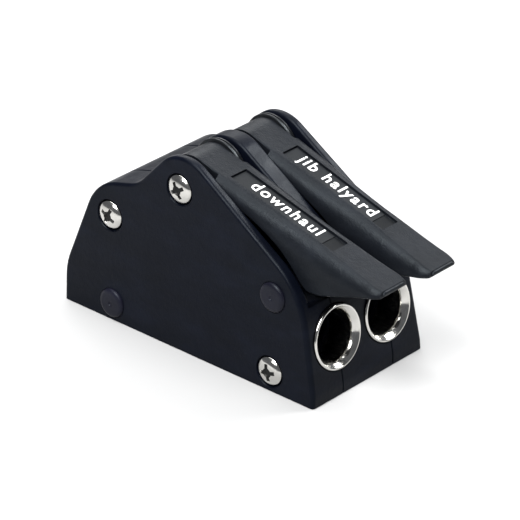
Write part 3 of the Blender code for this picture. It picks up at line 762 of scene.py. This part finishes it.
def blade_half(x, shape, inset=0.0, floor=None):
    """Half a section of the blade from the top's middle to its lower rim, as (y, z)."""
    flat, swell, depth, full, rim = shape
    top = lever_top(x) - inset * 1.3
    flat = max(flat - inset * 0.5, 0.8)
    full -= inset
    low = min(rim, top - depth - 0.2) if floor is None else floor
    line = [(0.0, top), (flat * 0.5, top), (flat, top)]
    steps = 14
    for step in range(1, steps + 1):
        share = step / steps
        rest = 1 - share
        y = 3 * share * rest ** 2 * swell + 3 * share ** 2 * rest + share ** 3
        z = 3 * share ** 2 * rest * (1 - swell) + share ** 3
        line.append((flat + (full - flat) * y, top - depth * z))
    if floor is not None:
        return line + [(full, low)]
    lip = min(LIP, (top - depth - low) * 0.45)
    for step in range(5):
        angle = math.pi / 2 * step / 4
        line.append((full - lip * (1 - math.cos(angle)), low + lip * (1 - math.sin(angle))))
    return line


def blade(name, xs, shapes, inset=0.0, floor=None, nose=False):
    """The lever's blade as a loft along X, or the hollow under it."""
    rings = []
    for x, shape in zip(xs, shapes):
        half = blade_half(x, shape, inset, floor)
        rings.append([(x, y, z) for y, z in reversed(half)] + [(x, -y, z) for y, z in half[1:]])
    if nose:
        last = rings.pop()
        heights = [z for _, _, z in last]
        middle = (max(heights) + min(heights)) / 2
        for step in range(5):
            angle = math.pi / 2 * step / 4
            shrink = math.cos(angle) * 0.85 + 0.15
            ring = [(x - NOSE * (1 - math.sin(angle)), y * (1 - 0.05 * (1 - shrink)),
                     middle + (z - middle) * shrink) for x, y, z in last]
            rings.append(ring)
    return loft(name, rings)


def hub_outline():
    """Hub and neck seen from the side: round behind, flat on top as far as the blade."""
    neck_end = 13.0
    outline = arc(PIVOT, HUB_RADIUS - 0.03, 75.0, 290.0, 60)
    return outline + [(neck_end, 55.0), (neck_end, lever_top(neck_end) - 0.5)]


def heel_outline():
    """The heel under the hub that presses the cam down."""
    return [(-13.0, 57.0)] + arc(HEEL, NOSE_RADIUS, 185.0, 350.0, 22) + [(1.5, 52.0), (4.0, 57.0)]


def on_lever(along, y, up):
    """A place on the lever, from the axle: along its length, across, and up from the axle."""
    turn = Matrix.Rotation(LEVER_SLOPE, 4, "Y")
    return shift(PIVOT[0], 0.0, PIVOT[1]) @ turn @ shift(along, y, up)


def to_module(side):
    """A matrix that carries a piece from the near lever's rest, made in the middle, to its module."""
    dip = FAR_LEVER_DIP if side > 0 else 0.0
    axle = shift(PIVOT[0], 0.0, PIVOT[1])
    return shift(0.0, side * MODULE_Y, 0.0) @ axle @ Matrix.Rotation(dip, 4, "Y") @ axle.inverted()


def lever(name, side):
    """One lever: hub, hollow blade and heel, with the recess for its label."""
    xs = np.concatenate([np.linspace(BLADE[0][0], 20.0, 12), np.linspace(21.5, 70.0, 34),
                         np.linspace(71.0, BLADE[-1][0], 16)])
    shapes = [blade_shape(x) for x in xs]
    neck_x = [row[0] for row in NECK]
    neck_shapes = [row[1:] for row in NECK]
    made = blade("lever_" + name, neck_x + list(xs), neck_shapes + shapes, nose=True)
    inside = [x for x in xs if HOLLOW_SPAN[0] <= x <= HOLLOW_SPAN[1]]
    hollow_shapes = [blade_shape(x) for x in inside]
    change(made, blade("hollow", inside, hollow_shapes, HOLLOW_WALL, HOLLOW_LOW))
    change(made, plate("hub", hub_outline(), -HUB_HALF, HUB_HALF, 0.45, 3), "UNION")
    change(made, plate("heel", heel_outline(), -HEEL_HALF, HEEL_HALF, 0.5, 2), "UNION")
    change(made, aim(rod("bore", BUSH_RADIUS + GAP, 40.0), PIVOT[0], 0.0, PIVOT[1], ACROSS))
    deep = RECESS_DEPTH + 1.6
    place = on_lever(LABEL_START + LABEL_LENGTH / 2, 0.0, HUB_RADIUS - RECESS_DEPTH + deep / 2)
    size = (LABEL_LENGTH + 2 * GAP, 2 * (LABEL_HALF + GAP), deep)
    change(made, block("recess", size, place, 0.35))
    made.data.transform(to_module(side))
    finish(made, LEVER_LOOK, name + "_lever", ["lever_" + name])


def label(name, side, words):
    """The label plate let into the lever, its stepped end and the plain word printed on it."""
    thick = RECESS_DEPTH - LABEL_SUNK - 0.02
    top = HUB_RADIUS - LABEL_SUNK
    middle = LABEL_START + LABEL_LENGTH / 2
    strip = block("label_" + name, (LABEL_LENGTH, 2 * LABEL_HALF, thick),
                  on_lever(middle, 0.0, top - thick / 2), 0.16)
    tab_middle = LABEL_START + LABEL_LENGTH - TAB_LENGTH / 2
    step_top = top - TAB_STEP
    past = 1.0              # how far the cutter runs past the label's end
    change(strip, block("step", (TAB_LENGTH + past, 12.0, past),
                        on_lever(tab_middle + past / 2, 0.0, step_top + past / 2)))
    strip.data.transform(to_module(side))
    finish(strip, LABEL_LOOK, name + "_lever", ["label_" + name])
    tab = block("label_tab_" + name, (TAB_LENGTH - GAP, 2 * LABEL_HALF - GAP, TAB_THICK),
                on_lever(tab_middle, 0.0, step_top + TAB_THICK / 3), 0.04)
    tab.data.transform(to_module(side))
    finish(tab, TAB_LOOK, name + "_lever")
    font = bpy.data.curves.new("word_" + name, "FONT")
    font.body = words
    font.size = WORD_SIZE * MM
    font.offset = WORD_WEIGHT * MM
    font.extrude = WORD_THICK * MM
    font.space_character = WORD_SPACING
    font.align_x = "CENTER"
    font.resolution_u = 4
    word = from_curve("label_word_" + name, font)
    word.data.transform(to_module(side) @ on_lever(middle + WORD_SHIFT, WORD_BASE, top + 0.03))
    finish(word, INK_LOOK, name + "_lever")


# ---------------------------------------------------------------- cams, springs and jaws
def grip_point(degrees, lift=0.0):
    """A point on the cam's growing grip curve, by its angle from straight down."""
    angle = math.radians(degrees)
    radius = GRIP_RADIUS * math.exp(math.tan(GRIP_ANGLE) * (angle - GRIP_ANGLE)) - lift
    return (CAM_PIVOT[0] + radius * math.sin(angle), CAM_PIVOT[1] - radius * math.cos(angle))


def cam_outline():
    """Round hub behind, toothed grip curve below, rounded horn in front."""
    outline = arc(CAM_PIVOT, CAM_HUB_RADIUS, 75.0, 200.0, 30)
    outline.append(grip_point(TOOTH_START - 5.0, TOOTH_DEPTH))
    pitch = TOOTH_SPAN / TEETH
    for tooth in range(TEETH):
        start = TOOTH_START + pitch * tooth
        for share, lift in ((0.0, 0.0), (0.08, 0.02), (0.3, TOOTH_DEPTH), (0.42, TOOTH_DEPTH)):
            outline.append(grip_point(start + share * pitch, lift))
    outline.append(grip_point(TOOTH_START + TOOTH_SPAN, TOOTH_DEPTH))
    outline += arc(HORN, NOSE_RADIUS, 0.0, 100.0, 20)
    return outline


def cam(name, side):
    """One toothed cam on the rear axle, with the peg that its spring lifts."""
    middle = side * MODULE_Y
    made = plate("cam_" + name, cam_outline(), middle - CAM_HALF, middle + CAM_HALF, 0.25, 2)
    bore = rod("cam_bore", CAM_AXLE_RADIUS + GAP, 40.0)
    change(made, aim(bore, CAM_PIVOT[0], middle, CAM_PIVOT[1], ACROSS))
    peg_length = CAM_HALF + PEG_REACH
    peg = rod("cam_peg", PEG_RADIUS, peg_length, 0.2, 32)
    change(made, aim(peg, PEG[0], middle + peg_length / 2, PEG[1], ACROSS), "UNION")
    finish(made, CAST_LOOK, name + "_cam", ["cam_" + name], 30.0)


def cam_spring(name, side):
    """Torsion spring beside the cam's hub: its lower leg lifts the cam's peg."""
    start = side * MODULE_Y + SPRING_Y
    count = round(SPRING_TURNS * 40)
    route = [(CAM_PIVOT[0] + SPRING_LEG, start, CAM_PIVOT[1] - SPRING_COIL)]
    for step in range(count + 1):
        angle = -math.pi / 2 - 2 * math.pi * SPRING_TURNS * step / count
        route.append((CAM_PIVOT[0] + SPRING_COIL * math.cos(angle), start - SPRING_WIDTH * step / count,
                      CAM_PIVOT[1] + SPRING_COIL * math.sin(angle)))
    x, y, z = route[-1]
    route.append((x + SPRING_TAIL[0], y, z + SPRING_TAIL[1]))
    curve = bpy.data.curves.new("spring", "CURVE")
    curve.dimensions = "3D"
    curve.bevel_depth = SPRING_WIRE * MM
    curve.bevel_resolution = 4
    curve.use_fill_caps = True
    spline = curve.splines.new("POLY")
    spline.points.add(len(route) - 1)
    for point, place in zip(spline.points, route):
        point.co = (*(Vector(place) * MM), 1.0)
    made = from_curve("cam_spring_" + name, curve)
    finish(made, WIRE_LOOK, HOUSING, ["cam_spring_" + name], 50.0)


def jaw_plate(name, side):
    """Ribbed steel plate in the floor, under the cam's teeth."""
    middle = side * MODULE_Y
    low = FLOOR_Z - JAW_DEPTH + GAP
    face = FLOOR_Z + 0.2
    crest = face + RIB_HEIGHT
    start = JAW_X - JAW_LENGTH / 2
    outline = [(start, low), (start + JAW_LENGTH, low), (start + JAW_LENGTH, face)]
    for rib in range(JAW_RIBS):
        x = start + JAW_LENGTH * (1 - (rib + 0.5) / JAW_RIBS)
        outline += [(x + 1.0, face), (x + 0.15, crest), (x - 0.15, crest), (x - 1.0, face)]
    outline.append((start, face))
    made = plate("jaw_plate_" + name, outline, middle - JAW_HALF, middle + JAW_HALF, 0.15, 2)
    finish(made, CAST_LOOK, HOUSING, ["jaw_plate_" + name], 30.0)


# ---------------------------------------------------------------- rings, bars, screws, small parts
def rope_ring(end, name, side):
    """Bell-mouthed bush: flange with a rounded lip that runs into the bore."""
    lip = 0.6
    mouth = RING_RADIUS - 2 * lip - 0.25
    throat = RING_BORE + 0.45
    flare_depth = 2.9
    steps = 12
    profile = [(RING_BORE, -7.5)]
    for step in range(steps + 1):
        share = step / steps
        profile.append((throat + (mouth - throat) * share ** 2.4, -flare_depth * (1 - share)))
    profile += arc((RING_RADIUS - lip, 0.0), lip, 155.0, 0.0, steps)[1:]
    end_edge = 0.3
    profile += [(RING_RADIUS, 0.1 - RING_FLANGE), (RING_RADIUS - 0.1, -RING_FLANGE),
                (RING_BARREL, -RING_FLANGE),
                (RING_BARREL, end_edge - RING_LENGTH), (RING_BARREL - end_edge, -RING_LENGTH),
                (RING_BORE + end_edge, -RING_LENGTH), (RING_BORE, end_edge - RING_LENGTH)]
    node = "rope_ring_%s_%s" % (end, name)
    made = turned(node, profile, 96, closed=True)
    aim(made, RINGS[end][0], side * MODULE_Y, ROPE_Z, ring_direction(end))
    finish(made, BRIGHT_LOOK, HOUSING, [node], 40.0)


def through_bar(node, point, radius, half):
    """A bar across all three mouldings, with a tapped hole in each end."""
    made = aim(rod(node, radius, 2 * half, 0.3), point[0], 0.0, point[1], ACROSS)
    past = 5.0              # how far the cutter runs past the bar's end
    for side in SIDES.values():
        thread = rod("thread", SCREW_SHANK_RADIUS + GAP, THREAD_DEPTH + past)
        change(made, aim(thread, point[0], side * (half + (past - THREAD_DEPTH) / 2), point[1], ACROSS))
    finish(made, BAR_LOOK, HOUSING, [node])


def cross_recess(name, top, place, direction, turn):
    """A solid the shape of a cross recess up to a height: two tapered wings about a pointed core."""
    widen = CROSS_TAPER * top
    core = turned(name, [(0.0, top), (CROSS_CORE + widen, top), (CROSS_CORE, 0.0),
                         (0.9, -2.6), (0.0, -3.1)], 24)
    levels = ((-2.4, 1.5, 0.5), (0.0, CROSS_REACH, CROSS_HALF),
              (top, CROSS_REACH + 3.2 * widen, CROSS_HALF + 0.4 * widen))
    rings = [[(-reach, -half, z), (reach, -half, z), (reach, half, z), (-reach, half, z)]
             for z, reach, half in levels]
    for quarter in range(2):
        wing = loft("wing", rings)
        wing.data.transform(Matrix.Rotation(math.pi / 2 * quarter, 4, "Z"))
        change(core, wing, "UNION")
    core.data.transform(Matrix.Rotation(turn, 4, "Z"))
    return aim(core, *place, direction)


def side_screw(kind, name, side, turn):
    """Raised countersunk screw driven in from the side, with a dark piece of painted shade set in its cross
    recess.
    """
    x, z = SCREW_POINTS[kind]
    length = SCREW_LENGTHS[kind]
    outward_y = (0, side, 0)
    crown = [(0.0, 1.5), (0.9, 1.48), (1.8, 1.4), (2.7, 1.26), (3.5, 1.05), (4.2, 0.78), (4.8, 0.42),
             (5.25, 0.0), (SCREW_HEAD_RADIUS - 0.06, -0.32), (SCREW_HEAD_RADIUS, -0.6)]
    profile = crown + [(SCREW_SHANK_RADIUS, -2.2), (SCREW_SHANK_RADIUS, 0.4 - length),
                       (SCREW_SHANK_RADIUS - 0.6, -length), (0.0, -length)]
    node = "%s_screw_%s" % (kind, name)
    made = aim(turned(node, profile), x, side * half_width(z), z, outward_y)
    place = (x, side * (half_width(z) + CROSS_HEIGHT), z)
    change(made, cross_recess("recess", 2.2, place, outward_y, turn))
    finish(made, BRIGHT_LOOK, HOUSING, [node], 32.0)
    # painted shade: a dark cross-shaped piece down in the recess, standing in for its shadow
    shade_liner = cross_recess("recess_grime_%s_%s" % (kind, name), 0.1, place, outward_y, turn)
    finish(shade_liner, PAINTED_SHADE_LOOK, HOUSING)


def locating_plug(end, name, side):
    """Moulded dowel with a low round head that keys a side shell to the middle moulding."""
    x, z = PLUG_POINTS[end]
    face = half_width(z)
    end_z = PLUG_END - face
    profile = [(0.0, 0.8), (0.6, 0.8), (0.9, 1.08), (3.9, 1.1), (4.6, 1.02), (5.1, 0.84), (5.45, 0.56),
               (5.64, 0.2), (PLUG_RADIUS, -0.1), (PLUG_RADIUS, -PLUG_HEAD), (PLUG_SHANK, -PLUG_HEAD),
               (PLUG_SHANK, end_z + 0.3), (PLUG_SHANK - 0.4, end_z), (0.0, end_z)]
    node = "locating_plug_%s_%s" % (end, name)
    made = aim(turned(node, profile), x, side * face, z, (0, side, 0))
    finish(made, PLUG_LOOK, HOUSING, [node], 30.0)


def deck_insert(end, name):
    """Threaded brass insert for a deck bolt, open at the underside."""
    groove = [(INSERT_BORE + 0.25 * (step % 2), 0.45 + 0.5 * step) for step in range(12)]
    profile = [(0.0, INSERT_TOP), (INSERT_RADIUS - 0.2, INSERT_TOP), (INSERT_RADIUS, INSERT_TOP - 0.2),
               (INSERT_RADIUS, 0.4), (INSERT_RADIUS - 0.2, 0.2), (INSERT_BORE + 0.3, 0.2)]
    profile += groove + [(INSERT_BORE, 6.5), (0.0, 6.5)]
    node = "deck_insert_%s_%s" % (end, name)
    place = centre(node)
    made = aim(turned(node, profile, 48), place.x, place.y, 0.0, (0, 0, 1))
    finish(made, BRASS_LOOK, HOUSING, [node], 25.0)


def lever_bearings(name, side):
    """The sleeve in the lever's hub and the thrust washers beside it."""
    bore = AXLE_RADIUS + GAP
    sleeve = tube("lever_bush_" + name, BUSH_RADIUS, bore, -BUSH_HALF, BUSH_HALF, 0.25)
    aim(sleeve, PIVOT[0], side * MODULE_Y, PIVOT[1], ACROSS)
    finish(sleeve, BUSH_LOOK, name + "_lever", ["lever_bush_" + name])
    inside, outside = WASHER_FACES
    half = (outside - inside) / 2
    hole = [(bore + 0.2, -half), (bore, 0.2 - half), (bore, half - 0.2), (bore + 0.2, half)]
    for place, facing in (("inner", -side), ("outer", side)):
        radius = WASHER_RADII[facing]
        rim = [(radius - 0.25, half), (radius, half - 0.25), (radius, 0.35), (radius - 0.5, 0.15),
               (radius - 0.5, -0.15), (radius, -0.35), (radius, 0.25 - half), (radius - 0.25, -half)]
        node = "hub_washer_%s_%s" % (name, place)
        washer = turned(node, rim + hole, 96, closed=True)
        aim(washer, PIVOT[0], side * MODULE_Y + facing * (inside + half), PIVOT[1], ACROSS)
        finish(washer, WASHER_LOOK, HOUSING, [node], 30.0)


def cam_spacer(name, side):
    """The tube that holds the cam off the chamber's wall, on the side without the spring."""
    node = "cam_spacer_" + name
    inside, outside = SPACER_FACES
    made = tube(node, SPACER_RADIUS, CAM_AXLE_RADIUS + GAP, -outside, -inside)
    aim(made, CAM_PIVOT[0], side * MODULE_Y, CAM_PIVOT[1], ACROSS)
    finish(made, BUSH_LOOK, HOUSING, [node])


# ---------------------------------------------------------------- the object
WORDS = {"near": "downhaul", "far": "jib halyard"}
SCREW_TURNS = {"pivot": 0.5, "rear": 1.1, "front": 0.2}

centre_body()
for side_name, side_sign in SIDES.items():
    side_shell(side_name, side_sign)
    lever(side_name, side_sign)
    label(side_name, side_sign, WORDS[side_name])
    lever_bearings(side_name, side_sign)
    cam(side_name, side_sign)
    cam_spring(side_name, side_sign)
    cam_spacer(side_name, side_sign)
    jaw_plate(side_name, side_sign)
    for end_name in ENDS:
        rope_ring(end_name, side_name, side_sign)
        locating_plug(end_name, side_name, side_sign)
        deck_insert(end_name, side_name)
    for kind_name, turn_angle in SCREW_TURNS.items():
        side_screw(kind_name, side_name, side_sign, turn_angle)
through_bar("lever_axle", PIVOT, AXLE_RADIUS, AXLE_HALF)
through_bar("cam_axle", CAM_PIVOT, CAM_AXLE_RADIUS, AXLE_HALF)
through_bar("tie_rod", TIE_POINT, TIE_RADIUS, TIE_HALF)


# ---------------------------------------------------------------- studio
def floor():
    """A wide plain pale floor."""
    cage = bmesh.new()
    bmesh.ops.create_grid(cage, x_segments=2, y_segments=2, size=4.0)
    made = new_object("floor", cage)
    look = Look("floor_paper", 0.75, specular=0.1)
    stops = [(0.3, (0.37, 0.37, 0.37)), (0.7, (0.40, 0.40, 0.40))]
    look.colour(look.colours(look.noise(3.0, 2.0), stops))
    made.data.materials.append(look.material)
    made.location.z = -0.2 * MM      # just under the body, so that the two faces stay apart


def softbox(name, place, target, size, power):
    """An area light at a place, aimed at a target, with sizes in metres."""
    data = bpy.data.lights.new(name, "AREA")
    data.shape = "RECTANGLE"
    data.size, data.size_y = size
    data.energy = power
    made = linked(name, data)
    made.location = place
    aimed = Vector(target) - Vector(place)
    made.rotation_euler = aimed.to_track_quat("-Z", "Y").to_euler()


def studio():
    """Four large lights, most of them behind and above, and a dim cool surround."""
    middle = (cad_low + cad_high) / 2
    softbox("above_behind", (0.31, 0.72, 0.70), middle, (0.44, 0.44), 16.5)
    softbox("behind", (-0.54, 0.68, 0.54), middle, (0.8, 0.5), 4.9)
    softbox("overhead", (-0.20, 0.05, 0.97), middle, (0.6, 0.95), 10.0)
    softbox("edge_light", (0.10, -0.60, 0.80), middle, (0.5, 0.62), 20.0)
    world = bpy.data.worlds.new("studio")
    bpy.context.scene.world = world
    world.use_nodes = True
    surround = world.node_tree.nodes["Background"].inputs
    surround["Color"].default_value = (0.9, 0.93, 1.0, 1.0)
    surround["Strength"].default_value = 0.16


def camera():
    """The viewing angle: azimuth and elevation round the object, a long lens."""
    azimuth, elevation = 0.73293, 0.49162
    distance = 1.25832
    level = math.cos(elevation)
    back = Vector((math.sin(azimuth) * level, -math.cos(azimuth) * level, math.sin(elevation)))
    target = Vector((10.407, -1.289, 30.0)) * MM
    data = bpy.data.cameras.new("camera")
    data.sensor_width = 36.0
    data.lens = 243.19
    data.clip_start = 0.05
    data.clip_end = 20.0
    made = linked("camera", data)
    made.location = target + back * distance
    made.rotation_euler = back.to_track_quat("Z", "Y").to_euler()
    bpy.context.scene.camera = made


floor()
studio()
camera()
bpy.context.scene.view_settings.view_transform = "Standard"
